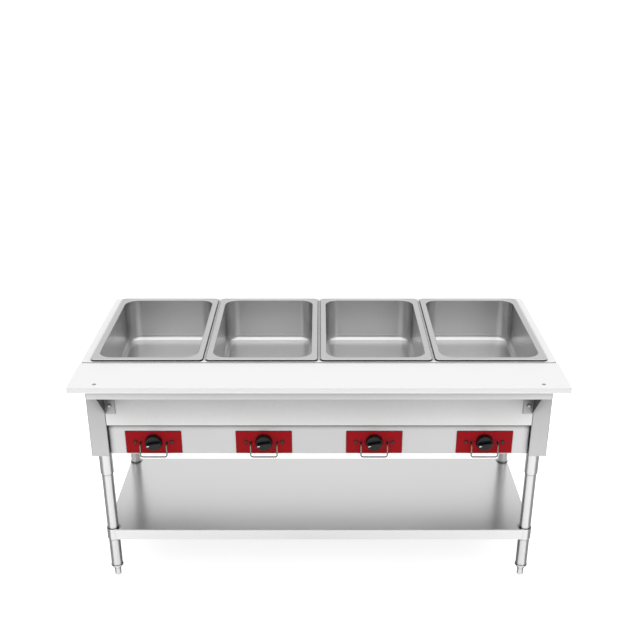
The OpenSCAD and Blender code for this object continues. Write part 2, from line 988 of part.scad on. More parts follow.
module leg(i) {
    spot = leg_spots[i - 1];
    color("silver")
        translate([spot.x, spot.y, foot_h])
            difference() {
                cylinder(d = leg_d, h = leg_top_z - foot_h);
                translate([0, 0, -leg_t])
                    cylinder(d = leg_d - 2 * leg_t, h = leg_top_z);
            }
}

// Tray with turned-down edges, cut away at its corners round a sleeve for each leg
module undershelf() {
    edge_r = 2 * sheet_t;
    corner_r = 3 * sheet_t;
    color("silver")
        difference() {
            union() {
                difference() {
                    translate([0, shelf_y, shelf_h]) {
                        turned_edge(shelf_w, shelf_l, corner_r, edge_r, sheet_t, shelf_edge);
                        translate([0, 0, -sheet_t])
                            linear_extrude(sheet_t)
                                rounded_rect(shelf_w - 2 * edge_r, shelf_l - 2 * edge_r,
                                    corner_r - edge_r);
                        translate([0, 0, -shelf_edge])
                            linear_extrude(sheet_t)
                                difference() {
                                    square([shelf_w - sheet_t, shelf_l - sheet_t], center = true);
                                    square([shelf_w - 2 * hem_w, shelf_l - 2 * hem_w], center = true);
                                }
                    }
                    for (x = [0, 1], y = [0, 1])
                        translate([(2 * x - 1) * leg_x, shelf_y + (2 * y - 1) * (leg_back_y - shelf_y), 0])
                            translate([-leg_d * (1 - x), -leg_d * (1 - y), 0])
                                cube([leg_d, leg_d, deck_h]);
                }
                for (spot = leg_spots)
                    translate([spot.x, spot.y, shelf_low_z])
                        cylinder(d = sleeve_d, h = shelf_edge + sleeve_rise);
            }
            for (spot = leg_spots) {
                translate([spot.x, spot.y, 0])
                    cylinder(d = sleeve_bore_d, h = deck_h);
                translate([spot.x, spot.y, shelf_screw_z])
                    set_screw(set_screw_d + 2 * run_gap, 0, sleeve_d);
            }
        }
}

module foot_inserts() {
    bore_r = stud_d / 2 + slip_gap;
    plug_r = leg_d / 2 - leg_t - leg_gap;
    step = 1;
    tip_r = foot_d / 2 + step;
    color("darkgray")
        for (spot = leg_spots)
            translate([spot.x, spot.y, 0])
                rotate_extrude()
                    polygon([
                        [bore_r, foot_l],
                        [tip_r, foot_l],
                        [collar_d / 2 - step, foot_h - collar_h],
                        [collar_d / 2, foot_h - collar_h],
                        [collar_d / 2, foot_h],
                        [plug_r, foot_h],
                        [plug_r, foot_h + insert_l],
                        [bore_r, foot_h + insert_l]
                    ]);
}

module foot(i) {
    spot = leg_spots[i - 1];
    edge_r = 3;
    foot_r = foot_d / 2;
    top = foot_l - seat_gap;
    color("darkgray")
        translate([spot.x, spot.y, 0]) {
            rotate_extrude() {
                square([foot_r - edge_r, top]);
                translate([0, edge_r])
                    square([foot_r, top - edge_r]);
                translate([foot_r - edge_r, edge_r])
                    circle(edge_r);
            }
            translate([0, 0, top])
                cylinder(d = stud_d, h = stud_l);
        }
}

// Supply

module terminal_block() {
    slots = 3;
    slot_w = block_l / (2 * slots);
    color("ivory")
        translate([block_x, loom_y - block_w / 2, floor_z + sheet_t])
            difference() {
                cube([block_l, block_w, block_h]);
                for (k = [0 : slots - 1])
                    translate([slot_w * (2 * k + 0.5), -seam, block_h - slot_w])
                        cube([slot_w, block_w + 2 * seam, block_h]);
            }
}

// Gland in the back panel: a nut on each side and a bore for the supply lead
module cable_gland() {
    color("dimgray")
        translate([gland_x, back_face_y, gland_z])
            difference() {
                union() {
                    translate([0, gland_out, 0])
                        forward(gland_out)
                            circle(d = gland_d, $fn = 6);
                    translate([0, -sheet_t, 0])
                        forward(nut_h)
                            circle(d = gland_d, $fn = 6);
                    translate([0, gland_out, 0])
                        forward(gland_out + sheet_t + gland_in)
                            circle(d = gland_d - 2 * nut_grow);
                }
                translate([0, gland_out + seam, 0])
                    forward(2 * (gland_out + gland_in))
                        circle(d = gland_bore_d);
            }
}

// Loom from the terminal block to each switch and to both cold ends of each element
module wiring_loom() {
    left_x = well_x(1) - cold_x - branch_d;
    color("black") {
        translate([left_x, loom_y, loom_z])
            rotate([0, 90, 0])
                cylinder(d = loom_d, h = block_x - left_x);
        for (i = wells) {
            translate([well_x(i), loom_y, loom_z])
                rotate([90, 0, 0])
                    cylinder(d = branch_d, h = loom_y - panel_back_y - switch_l);
            for (x = [-cold_x, cold_x])
                translate([well_x(i) + x, loom_y, loom_z])
                    cylinder(d = branch_d, h = cold_end_z - loom_z);
        }
    }
}

deck_top();
front_panel();
control_panel();
end_panel_left();
end_panel_right();
back_panel();
bottom_panel();
element_clips();
switch_bodies();
dial_plates();
guard_nuts();
pilot_lamps();
power_lamps();
cutting_board();
board_rail();
bracket_left();
bracket_right();
bracket_bolts();
board_screws();
undershelf();
leg_sockets();
socket_bolts();
set_screws();
foot_inserts();
terminal_block();
cable_gland();
wiring_loom();
for (i = wells) {
    spillage_pan(i);
    heat_well(i);
    heating_element(i);
    knob(i);
    switch_shaft(i);
    knob_guard(i);
}
for (i = corners) {
    leg(i);
    foot(i);
}
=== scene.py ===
import bpy
import bmesh
import json
import math
from mathutils import Matrix, Vector


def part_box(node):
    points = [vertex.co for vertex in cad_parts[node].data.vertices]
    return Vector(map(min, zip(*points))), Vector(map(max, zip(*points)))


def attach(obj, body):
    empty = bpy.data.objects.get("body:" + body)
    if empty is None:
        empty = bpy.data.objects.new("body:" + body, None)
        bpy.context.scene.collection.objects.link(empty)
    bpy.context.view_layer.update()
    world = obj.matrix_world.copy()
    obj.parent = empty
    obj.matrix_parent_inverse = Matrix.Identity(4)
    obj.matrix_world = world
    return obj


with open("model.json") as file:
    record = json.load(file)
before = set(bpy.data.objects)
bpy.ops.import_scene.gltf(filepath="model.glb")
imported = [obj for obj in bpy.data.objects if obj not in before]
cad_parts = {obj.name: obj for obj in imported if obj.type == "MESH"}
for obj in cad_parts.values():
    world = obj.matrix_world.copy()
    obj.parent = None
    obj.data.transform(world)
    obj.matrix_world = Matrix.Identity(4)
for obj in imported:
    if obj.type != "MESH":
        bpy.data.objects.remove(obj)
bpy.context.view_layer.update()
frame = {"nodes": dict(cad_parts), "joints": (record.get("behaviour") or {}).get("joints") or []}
nodes = frame["nodes"]
wells = [1, 2, 3, 4]
corners = [1, 2, 3, 4]  # numbers of the legs and feet

# Where the legs stand
legAxis = {i: sum(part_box(f"leg_{i}"), Vector()) / 2 for i in corners}
legX = max(axis.x for axis in legAxis.values())
legFront = min(axis.y for axis in legAxis.values())
legBack = max(axis.y for axis in legAxis.values())
frontLegs = [f"leg_{i}" for i in corners if legAxis[i].y < (legFront + legBack) / 2]
rearLegs = [f"leg_{i}" for i in corners if f"leg_{i}" not in frontLegs]
print("frame loaded:", len(nodes), "nodes")


def mm(*values):  # millimetres to a point in metres
    return Vector([v / 1000 for v in values])


def linear(hexText):  # sRGB hex to linear colour
    channels = []
    for k in (0, 2, 4):
        c = int(hexText[k:k + 2], 16) / 255
        channels.append(c / 12.92 if c <= 0.04045 else ((c + 0.055) / 1.055) ** 2.4)
    return (*channels, 1.0)


# Camera: where the photograph was taken from, with its focal length and optical axis in pixels
camera = {"eyeMm": (3.1, -2883.4, 2039.4), "pitchDeg": 25.409, "focalPx": 955.26, "axisRow": 385,
          "framePx": 640, "sensorMm": 36, "farM": 300}

cameraData = bpy.data.cameras.new("camera")
cameraData.sensor_width = camera["sensorMm"]
cameraData.lens = camera["focalPx"] / camera["framePx"] * camera["sensorMm"]
cameraData.shift_y = (camera["axisRow"] - camera["framePx"] / 2) / camera["framePx"]  # the photo is a crop
cameraData.clip_end = camera["farM"]
cameraObject = bpy.data.objects.new("camera", cameraData)
cameraObject.location = mm(*camera["eyeMm"])
cameraObject.rotation_euler = (math.radians(90 - camera["pitchDeg"]), 0, 0)
bpy.context.scene.collection.objects.link(cameraObject)
bpy.context.scene.camera = cameraObject
bpy.context.scene.view_settings.view_transform = "Standard"


def addNode(tree, kind, values=None, links=None, **settings):  # one node, its settings, values and links
    made = tree.nodes.new(kind)
    for name, value in settings.items():
        setattr(made, name, value)
    for name, value in (values or {}).items():
        made.inputs[name].default_value = value
    for name, source in (links or {}).items():
        tree.links.new(source, made.inputs[name])
    return made


# Room: soft light all round, stronger from above and from behind
room = {"glow": 0.4, "backLift": 0.35, "topLift": 1.25, "topPower": 2.0}
white = linear("ffffff")

world = bpy.data.worlds.new("studioRoom")
world.use_nodes = True
sky = world.node_tree
sky.nodes.clear()
skyCoords = addNode(sky, "ShaderNodeTexCoord")
towards = addNode(sky, "ShaderNodeSeparateXYZ", links={"Vector": skyCoords.outputs["Generated"]})
upwards = addNode(sky, "ShaderNodeMath", {1: room["topPower"]}, {0: towards.outputs["Z"]},
                  operation="POWER")
fromTop = addNode(sky, "ShaderNodeMath", {1: room["topLift"], 2: room["glow"]},
                  {0: upwards.outputs["Value"]}, operation="MULTIPLY_ADD")
fromBack = addNode(sky, "ShaderNodeMath", {1: room["backLift"]},
                   {0: towards.outputs["Y"], 2: fromTop.outputs["Value"]}, operation="MULTIPLY_ADD")
skyGlow = addNode(sky, "ShaderNodeBackground", {"Color": white}, {"Strength": fromBack.outputs["Value"]})
addNode(sky, "ShaderNodeOutputWorld", links={"Surface": skyGlow.outputs["Background"]})
bpy.context.scene.world = world

# Softbox in front, above the camera
frontBox = {"placeM": (0.0, -3.2, 3.0), "aimM": (0.0, -0.2, 0.6), "sizeM": (4.0, 1.5), "watts": 18}

frontLamp = bpy.data.lights.new("frontBox", "AREA")
frontLamp.shape = "RECTANGLE"
frontLamp.size, frontLamp.size_y = frontBox["sizeM"]
frontLamp.energy = frontBox["watts"]
frontLampObject = bpy.data.objects.new("frontBox", frontLamp)
frontLampObject.location = frontBox["placeM"]
frontAim = Vector(frontBox["aimM"]) - Vector(frontBox["placeM"])
frontLampObject.rotation_euler = frontAim.to_track_quat("-Z", "Y").to_euler()
bpy.context.scene.collection.objects.link(frontLampObject)


def newMaterial(name):  # an empty tree with its output
    made = bpy.data.materials.new(name)
    made.use_nodes = True
    made.node_tree.nodes.clear()
    return made, addNode(made.node_tree, "ShaderNodeOutputMaterial")


def addStage(name, mesh, material, seen):  # a piece of the studio: if it isn't seen, only gloss meets it
    data = bpy.data.meshes.new(name)
    mesh.to_mesh(data)
    mesh.free()
    data.materials.append(material)
    made = bpy.data.objects.new(name, data)
    made.visible_camera = seen
    made.visible_diffuse = seen
    made.visible_shadow = seen
    bpy.context.scene.collection.objects.link(made)


def sidePanels(outlines):  # flat faces, each on the left and on the right of the table, in metres
    mesh = bmesh.new()
    for outline in outlines:
        for side in (-1, 1):
            mesh.faces.new([mesh.verts.new((side * x, y, z)) for x, y, z in outline])
    return mesh


# Floor in flat pale paint, even and dull, with a glow of its own that keeps the shadow faint
floor = {"halfM": 80, "paint": ("d6d6d6", "dcdcdc"), "mottleMm": 333, "mottleDetail": 2.0, "glow": 0.73}
mattPaint = {"Roughness": 0.9, "Specular IOR Level": 0.1}


def makeFloorPaint(look):
    made, out = newMaterial("floorMattPaint")
    tree = made.node_tree
    coords = addNode(tree, "ShaderNodeTexCoord")
    mottle = addNode(tree, "ShaderNodeTexNoise",
                     {"Scale": 1000 / look["mottleMm"], "Detail": look["mottleDetail"]},
                     {"Vector": coords.outputs["Object"]})
    tint = addNode(tree, "ShaderNodeMix", {"A": linear(look["paint"][0]), "B": linear(look["paint"][1])},
                   {"Factor": mottle.outputs["Fac"]}, data_type="RGBA")
    paint = addNode(tree, "ShaderNodeBsdfPrincipled",
                    {**mattPaint, "Emission Color": white, "Emission Strength": look["glow"]},
                    {"Base Color": tint.outputs["Result"]})
    tree.links.new(paint.outputs["BSDF"], out.inputs["Surface"])
    return made


floorMesh = bmesh.new()
bmesh.ops.create_grid(floorMesh, x_segments=1, y_segments=1, size=floor["halfM"])
addStage("floor", floorMesh, makeFloorPaint(floor), True)

# Grey cards on the floor, a wide one at each side and a strip behind each rear leg, darken tube edges
# frontM and backM are the wide card's front and back edge, first at its side and then in the middle
cards = {"riseM": 0.002, "fadeM": (0.7, 1.9), "greys": ("aeaeae", "a0a0a0"), "sideM": 2.4,
         "frontM": (-1.5, -0.3), "backM": (1.3, 0.4), "stripHalfM": (0.115, 0.205), "stripEndM": 1.4}


def makeCardGrey(look):  # dull grey that changes a little with the distance from the middle
    made, out = newMaterial("cardGrey")
    tree = made.node_tree
    coords = addNode(tree, "ShaderNodeTexCoord")
    place = addNode(tree, "ShaderNodeSeparateXYZ", links={"Vector": coords.outputs["Object"]})
    aside = addNode(tree, "ShaderNodeMath", links={0: place.outputs["X"]}, operation="ABSOLUTE")
    fade = addNode(tree, "ShaderNodeMapRange",
                   {"From Min": look["fadeM"][0], "From Max": look["fadeM"][1]},
                   {"Value": aside.outputs["Value"]})
    grey = addNode(tree, "ShaderNodeMix", {"A": linear(look["greys"][0]), "B": linear(look["greys"][1])},
                   {"Factor": fade.outputs["Result"]}, data_type="RGBA")
    paint = addNode(tree, "ShaderNodeBsdfPrincipled", mattPaint, {"Base Color": grey.outputs["Result"]})
    tree.links.new(paint.outputs["BSDF"], out.inputs["Surface"])
    return made


frontSide, frontMiddle = cards["frontM"]
backSide, backMiddle = cards["backM"]
wedge = [(0, frontMiddle), (legX, legFront), (cards["sideM"], frontSide),
         (cards["sideM"], backSide), (legX, legBack), (0, backMiddle)]
startHalf, endHalf = cards["stripHalfM"]
strip = [(legX - startHalf, legBack), (legX + startHalf, legBack),
         (legX + endHalf, cards["stripEndM"]), (legX - endHalf, cards["stripEndM"])]
cardMesh = sidePanels([[(x, y, cards["riseM"]) for x, y in outline] for outline in (wedge, strip)])
addStage("cards", cardMesh, makeCardGrey(cards), False)


def makeGlow(name, strength):  # even white light
    made, out = newMaterial(name)
    glow = addNode(made.node_tree, "ShaderNodeEmission", {"Strength": strength})
    made.node_tree.links.new(glow.outputs["Emission"], out.inputs["Surface"])
    return made


# White reflectors at both sides in front light the rear legs by way of the shelf
reflectors = {"awayM": -1.6, "acrossM": (0.85, 3.2), "heightM": (0.8, 1.5), "glow": 1.8}
(nearX, farX), (bottomZ, topZ) = reflectors["acrossM"], reflectors["heightM"]
reflectorMesh = sidePanels([[(nearX, reflectors["awayM"], bottomZ), (farX, reflectors["awayM"], bottomZ),
                             (farX, reflectors["awayM"], topZ), (nearX, reflectors["awayM"], topZ)]])
addStage("reflectors", reflectorMesh, makeGlow("reflectorWhite", reflectors["glow"]), False)

# Grey wings level with the underside carry its mirror image on to the ends of the shelf
wings = {"reachM": 0.6, "glow": 0.45}
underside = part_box("bottom_panel")[0].z
bodyLow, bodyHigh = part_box("end_panel_right")
wingTip = bodyHigh.x + wings["reachM"]
wingMesh = sidePanels([[(bodyHigh.x, bodyLow.y, underside), (wingTip, bodyLow.y, underside),
                        (wingTip, bodyHigh.y, underside), (bodyHigh.x, bodyHigh.y, underside)]])
addStage("wings", wingMesh, makeGlow("wingGrey", wings["glow"]), False)
print("studio set")

# What all the finishes share: noise detail, its usual span, relief in millimetres and occlusion samples for
# painted shade
pattern = {"grainDetail": 4.0, "grainRoughness": 0.6, "cloudDetail": 2.0, "cloudShare": 0.4,
           "speckDetail": 3.0, "span": (0.3, 0.7), "metalReliefMm": 1.0, "skinReliefMm": 0.5,
           "occlusionSamples": 8, "uprightSpan": (0.25, 0.75)}

# Metals: each finish is one dictionary, with its grain in millimetres along X, Y and Z
# The true grit is about 0.1 mm wide, too fine to show here, so the streaks are drawn a few mm wide
# Painted shade darkens occluded places: its reach in millimetres, how open a place is where the painted
# shade is deepest and where it ends, and the share of the colour left in it
# Brushed sheets and tubes share some of their values
brushed = {"grainMm": (420, 3.5, 3.5), "rough": (0.5, 0.6), "cloudMm": 260, "bump": 0.04, "stretch": 0.7}
tube = {"grainMm": (60, 60, 5), "cloudMm": 90, "bump": 0.02}
metals = {
    # 304 sheet with a brushed finish: pale, soft streaks along the length, painted shade under the board
    "stainless304BrushedLong": {**brushed, "dark": "e0e0e0", "light": "e8e8e8",
                                "paintedShade": (240, 0.42, 1.0, 0.16)},
    # the same sheet on the recessed control panel, a darker copy as painted shade, with a painted shadow
    # line where the front panel laps it
    "stainless304BrushedRecess": {**brushed, "dark": "cecece", "light": "d6d6d6",
                                  "paintedShade": (22, 0.74, 0.92, 0.06)},
    # the same sheet under the board, a darker copy as painted shade, with deeper painted shade in its
    # corners
    "stainless304BrushedRail": {**brushed, "dark": "cecece", "light": "d6d6d6",
                                "paintedShade": (240, 0.4, 1.0, 0.3)},
    # the same sheet on the deck, a brighter copy as painted light and glossier, with painted shade where
    # the pans' rims lie on it
    "stainless304BrushedDeck": {**brushed, "dark": "e2e2e2", "light": "eaeaea", "rough": (0.42, 0.52),
                                "paintedShade": (40, 0.45, 0.9, 0.05)},
    # the same sheet with its grain from front to back: greyer colour, no stretched gloss, painted shade in
    # occluded places
    "stainless304BrushedAcross": {"dark": "bababa", "light": "c2c2c2", "grainMm": (3.5, 420, 3.5),
                                  "rough": (0.5, 0.6), "cloudMm": 260, "bump": 0.04,
                                  "paintedShade": (300, 0.45, 1.0, 0.2)},
    # mill-finish 304 under the body, never brushed: glossier, dark partly from the mill finish and partly
    # as painted shade under the body
    "stainless304Mill": {"dark": "8c8c8c", "light": "969696", "grainMm": (420, 3.5, 3.5),
                         "rough": (0.35, 0.45), "cloudMm": 260, "bump": 0.02},
    # deep-drawn 304, satin from the press: greyer, faint stretch marks down the walls, floor painted paler
    # as painted light
    "stainless304Drawn": {"dark": "c3c3c3", "light": "c9c9c9", "grainMm": (9, 9, 160),
                          "rough": (0.27, 0.33), "cloudMm": 140, "bump": 0.02,
                          "paintedFloorLight": ("e0e0e0", 24.5, 10.5)},
    # bright annealed 430: a blurred mirror, slightly clouded, painted shade close to the legs
    "stainless430Bright": {"dark": "d0d0d0", "light": "d6d6d6", "grainMm": (900, 3, 3),
                           "rough": (0.23, 0.26), "cloudMm": 320, "bump": 0.004, "stretch": 0.55,
                           "paintedShade": (10, 0.66, 0.97, 0.45)},
    # polished welded tube: fine rings from the polishing belt, painted shade rings where it enters another
    # piece
    "stainlessTubePolished": {**tube, "dark": "c8c8c8", "light": "d4d4d4", "rough": (0.26, 0.34),
                              "paintedShade": (10, 0.72, 0.97, 0.1)},
    # the same tube at the back: a paler copy as painted light, more satin, with painted shade where it
    # enters another piece
    "stainlessTubeSatinPaintedLight": {**tube, "dark": "f0f0f0", "light": "f6f6f6", "rough": (0.34, 0.42),
                           "paintedShade": (10, 0.72, 0.97, 0.4)},
    # turned steel: fine rings
    "steelTurned": {"dark": "c9c9c8", "light": "d6d6d5", "grainMm": (40, 40, 2.5),
                    "rough": (0.18, 0.28), "cloudMm": 40, "bump": 0.05},
    # hot-dip aluminised sheet: dull, with a soft spangle
    "steelAluminised": {"dark": "a9a9a7", "light": "bdbdba", "grainMm": (14, 14, 14),
                        "rough": (0.38, 0.52), "cloudMm": 60, "bump": 0.05},
    # sheathed heating tube, oxidised by use: brown-grey and dull
    "elementSheathOxidised": {"dark": "55504c", "light": "6e6863", "grainMm": (12, 30, 12),
                              "rough": (0.42, 0.6), "cloudMm": 45, "bump": 0.05},
    # zinc-plated screws and bolts: grey, even
    "steelZincPlated": {"dark": "8c8c8a", "light": "a0a09d", "grainMm": (4, 4, 4),
                        "rough": (0.25, 0.36), "cloudMm": 12, "bump": 0.04},
    # chromium plate on drawn wire: dark grey as a painted reflection of dark surroundings, glossy, with
    # fine draw lines
    "wireChromed": {"dark": "6e6a66", "light": "84807a", "grainMm": (25, 3, 3), "rough": (0.14, 0.2),
                    "cloudMm": 30, "bump": 0.02},
}
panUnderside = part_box("spillage_pan_1")[0].z


def makeMetal(name, look):
    made, out = newMaterial(name)
    tree = made.node_tree
    coords = addNode(tree, "ShaderNodeTexCoord")
    grainSpace = addNode(tree, "ShaderNodeMapping", {"Scale": [1000 / v for v in look["grainMm"]]},
                         {"Vector": coords.outputs["Object"]})
    grain = addNode(tree, "ShaderNodeTexNoise",
                    {"Scale": 1.0, "Detail": pattern["grainDetail"],
                     "Roughness": pattern["grainRoughness"]},
                    {"Vector": grainSpace.outputs["Vector"]})
    cloud = addNode(tree, "ShaderNodeTexNoise",
                    {"Scale": 1000 / look["cloudMm"], "Detail": pattern["cloudDetail"]},
                    {"Vector": coords.outputs["Object"]})
    both = addNode(tree, "ShaderNodeMix", {"Factor": pattern["cloudShare"]},
                   {"A": grain.outputs["Fac"], "B": cloud.outputs["Fac"]})
    colour = addNode(tree, "ShaderNodeMix", {"A": linear(look["dark"]), "B": linear(look["light"])},
                     {"Factor": both.outputs["Result"]}, data_type="RGBA")
    rough = addNode(tree, "ShaderNodeMapRange",
                    {"From Min": pattern["span"][0], "From Max": pattern["span"][1],
                     "To Min": look["rough"][0], "To Max": look["rough"][1]},
                    {"Value": both.outputs["Result"]})
    relief = addNode(tree, "ShaderNodeBump",
                     {"Strength": look["bump"], "Distance": pattern["metalReliefMm"] / 1000},
                     {"Height": grain.outputs["Fac"]})
    # painted light: the pan's floor is painted paler than its walls
    if "paintedFloorLight" in look:  # paler towards the pan's floor, from one height to another above its underside
        paler, fromMm, toMm = look["paintedFloorLight"]
        place = addNode(tree, "ShaderNodeSeparateXYZ", links={"Vector": coords.outputs["Object"]})
        lowDown = addNode(tree, "ShaderNodeMapRange",
                          {"From Min": panUnderside + fromMm / 1000,
                           "From Max": panUnderside + toMm / 1000},
                          {"Value": place.outputs["Z"]}, interpolation_type="SMOOTHSTEP")
        colour = addNode(tree, "ShaderNodeMix", {"B": linear(paler)},
                         {"Factor": lowDown.outputs["Result"], "A": colour.outputs["Result"]},
                         data_type="RGBA")
    if "paintedShade" in look:  # painted shade: occluded places are darkened
        reachMm, covered, clear, left = look["paintedShade"]
        occlusion = addNode(tree, "ShaderNodeAmbientOcclusion", {"Distance": reachMm / 1000},
                        samples=pattern["occlusionSamples"])
        shadeShare = addNode(tree, "ShaderNodeMapRange",
                        {"From Min": covered, "From Max": clear, "To Min": left, "To Max": 1.0},
                        {"Value": occlusion.outputs["AO"]})
        colour = addNode(tree, "ShaderNodeMix", {"Factor": 1.0},
                         {"A": colour.outputs["Result"], "B": shadeShare.outputs["Result"]},
                         data_type="RGBA", blend_type="MULTIPLY")
    steel = addNode(tree, "ShaderNodeBsdfPrincipled",
                    {"Metallic": 1.0, "Anisotropic": look.get("stretch", 0.0)},
                    {"Base Color": colour.outputs["Result"], "Roughness": rough.outputs["Result"],
                     "Normal": relief.outputs["Normal"]})
    if "stretch" in look:  # grain along X spreads the gloss across it
        across = addNode(tree, "ShaderNodeTangent", direction_type="RADIAL", axis="X")
        tree.links.new(across.outputs["Tangent"], steel.inputs["Tangent"])
    tree.links.new(steel.outputs["BSDF"], out.inputs["Surface"])
    return made


# Plastics, enamel and rubber: colour, speck or grain size in millimetres, and gloss
skins = {
    # high-density polyethylene, planed and textured: white, soft sheen, fine pebble, upright faces greyer
    # as painted shade
    "polyethyleneTextured": {"dark": "e9e9e9", "light": "efefef", "speckMm": 2.2, "rough": (0.38, 0.5),
                             "ior": 1.54, "bump": 0.12, "paintedSideShade": "e2e2e2"},
    # moulded phenolic knob: near black, semi-matt
    "phenolicMoulded": {"dark": "0b0c0d", "light": "121314", "speckMm": 1.2, "rough": (0.3, 0.42),
                        "ior": 1.36, "bump": 0.08},
    # moulded nylon: black, dull
    "nylonMoulded": {"dark": "1c1c1d", "light": "262627", "speckMm": 1.0, "rough": (0.45, 0.58),
                     "ior": 1.53, "bump": 0.08},
    # moulded urea terminal block: ivory, smooth
    "ureaMoulded": {"dark": "d9d2bf", "light": "e4decd", "speckMm": 1.5, "rough": (0.35, 0.45),
                    "ior": 1.6, "bump": 0.05},
    # red enamel screened on thin sheet: even, a little gloss
    "enamelScreenedRed": {"dark": "940812", "light": "9e0b17", "speckMm": 6.0, "rough": (0.45, 0.52),
                          "ior": 1.18, "bump": 0.03},
    # moulded rubber: black, dull
    "rubberMoulded": {"dark": "111112", "light": "191919", "speckMm": 0.9, "rough": (0.55, 0.7),
                      "ior": 1.5, "bump": 0.06},
    # black screen ink: thin, half dull
    "inkScreenedBlack": {"dark": "140c0d", "light": "1d1213", "speckMm": 1.0, "rough": (0.4, 0.5),
                         "ior": 1.5, "bump": 0.02},
    # thick white fill paint: flat, slightly uneven
    "paintFilledWhite": {"dark": "d6d6d3", "light": "e9e9e6", "speckMm": 0.8, "rough": (0.45, 0.55),
                         "ior": 1.5, "bump": 0.05},
    # woven sleeve on the wires: dark, rough to the eye
    "sleeveWoven": {"dark": "1e1e1e", "light": "303030", "speckMm": 1.5, "rough": (0.6, 0.75),
                    "ior": 1.5, "bump": 0.3},
    # moulded polycarbonate lens of an unlit lamp: amber red, glossy
    "polycarbonateAmber": {"dark": "4a0c08", "light": "7a2a12", "speckMm": 3.0, "rough": (0.08, 0.14),
                           "ior": 1.4, "bump": 0.02, "coat": 0.1},
    # the same lens in dark green
    "polycarbonateGreen": {"dark": "232c27", "light": "36433b", "speckMm": 3.0, "rough": (0.08, 0.14),
                           "ior": 1.4, "bump": 0.02, "coat": 0.1},
}


def makeSkin(name, look):
    made, out = newMaterial(name)
    tree = made.node_tree
    coords = addNode(tree, "ShaderNodeTexCoord")
    speck = addNode(tree, "ShaderNodeTexNoise",
                    {"Scale": 1000 / look["speckMm"], "Detail": pattern["speckDetail"]},
                    {"Vector": coords.outputs["Object"]})
    colour = addNode(tree, "ShaderNodeMix", {"A": linear(look["dark"]), "B": linear(look["light"])},
                     {"Factor": speck.outputs["Fac"]}, data_type="RGBA")
    rough = addNode(tree, "ShaderNodeMapRange",
                    {"From Min": pattern["span"][0], "From Max": pattern["span"][1],
                     "To Min": look["rough"][0], "To Max": look["rough"][1]},
                    {"Value": speck.outputs["Fac"]})
    relief = addNode(tree, "ShaderNodeBump",
                     {"Strength": look["bump"], "Distance": pattern["skinReliefMm"] / 1000},
                     {"Height": speck.outputs["Fac"]})
    if "paintedSideShade" in look:  # painted shade: faces that stand upright are greyer
        facet = addNode(tree, "ShaderNodeNewGeometry")
        upright = addNode(tree, "ShaderNodeSeparateXYZ", links={"Vector": facet.outputs["Normal"]})
        steep = addNode(tree, "ShaderNodeMapRange",
                        {"From Min": pattern["uprightSpan"][0], "From Max": pattern["uprightSpan"][1],
                         "To Min": 1.0, "To Max": 0.0},
                        {"Value": upright.outputs["Z"]})
        colour = addNode(tree, "ShaderNodeMix", {"B": linear(look["paintedSideShade"])},
                         {"Factor": steep.outputs["Result"], "A": colour.outputs["Result"]},
                         data_type="RGBA")
    skin = addNode(tree, "ShaderNodeBsdfPrincipled",
                   {"IOR": look["ior"], "Coat Weight": look.get("coat", 0.0)},
                   {"Base Color": colour.outputs["Result"], "Roughness": rough.outputs["Result"],
                    "Normal": relief.outputs["Normal"]})
    tree.links.new(skin.outputs["BSDF"], out.inputs["Surface"])
    return made


finishes = {name: makeMetal(name, look) for name, look in metals.items()}
finishes.update({name: makeSkin(name, look) for name, look in skins.items()})
print("materials made:", len(finishes))

# Finishes of the frame's own nodes
nodeFinish = {
    "stainless304BrushedLong": ["front_panel", "back_panel"],
    "stainless304Mill": ["bottom_panel"],
    "stainless304BrushedRecess": ["control_panel"],
    "stainless304BrushedRail": ["board_rail"],
    "stainless304BrushedDeck": ["deck_top"],
    "stainless304BrushedAcross": ["end_panel_left", "end_panel_right", "bracket_left", "bracket_right"],
    "stainless304Drawn": [f"spillage_pan_{i}" for i in wells],
    "stainless430Bright": ["undershelf"],
    "stainlessTubePolished": frontLegs + ["leg_sockets"],
    "stainlessTubeSatinPaintedLight": rearLegs,
    "steelTurned": [f"foot_{i}" for i in corners] + ["foot_inserts"],
    "steelAluminised": [f"heat_well_{i}" for i in wells] + ["element_clips"],
    "elementSheathOxidised": [f"heating_element_{i}" for i in wells],
    "steelZincPlated": ["bracket_bolts", "board_screws", "socket_bolts", "set_screws", "guard_nuts"]
                       + [f"switch_shaft_{i}" for i in wells],
    "wireChromed": [f"knob_guard_{i}" for i in wells],
    "polyethyleneTextured": ["cutting_board"],
    "phenolicMoulded": [f"knob_{i}" for i in wells],
    "nylonMoulded": ["switch_bodies", "cable_gland"],
    "ureaMoulded": ["terminal_block"],
    "enamelScreenedRed": ["dial_plates"],
    "polycarbonateAmber": ["pilot_lamps"],
    "polycarbonateGreen": ["power_lamps"],
    "sleeveWoven": ["wiring_loom"],
}
for finish, names in nodeFinish.items():
    for name in names:
        nodes[name].data.materials.clear()
        nodes[name].data.materials.append(finishes[finish])
print("nodes finished")

mergeM = 1e-7  # points closer than this become one


# A closed profile of (radius, height) points spun about an axis, in millimetres
def turnedRing(mesh, profile, centre, axis, steps):
    turn = Vector((0, 0, 1)).rotation_difference(Vector(axis))
    ring = [mesh.verts.new(turn @ mm(radius, 0, height) + mm(*centre)) for radius, height in profile]
    edges = [mesh.edges.new((ring[k], ring[(k + 1) % len(ring)])) for k in range(len(ring))]
    bmesh.ops.spin(mesh, geom=ring + edges, cent=mm(*centre), axis=Vector(axis), angle=math.tau,
                   steps=steps, use_merge=True, use_normal_flip=False)
    bmesh.ops.remove_doubles(mesh, verts=mesh.verts, dist=mergeM)
    bmesh.ops.recalc_face_normals(mesh, faces=mesh.faces)


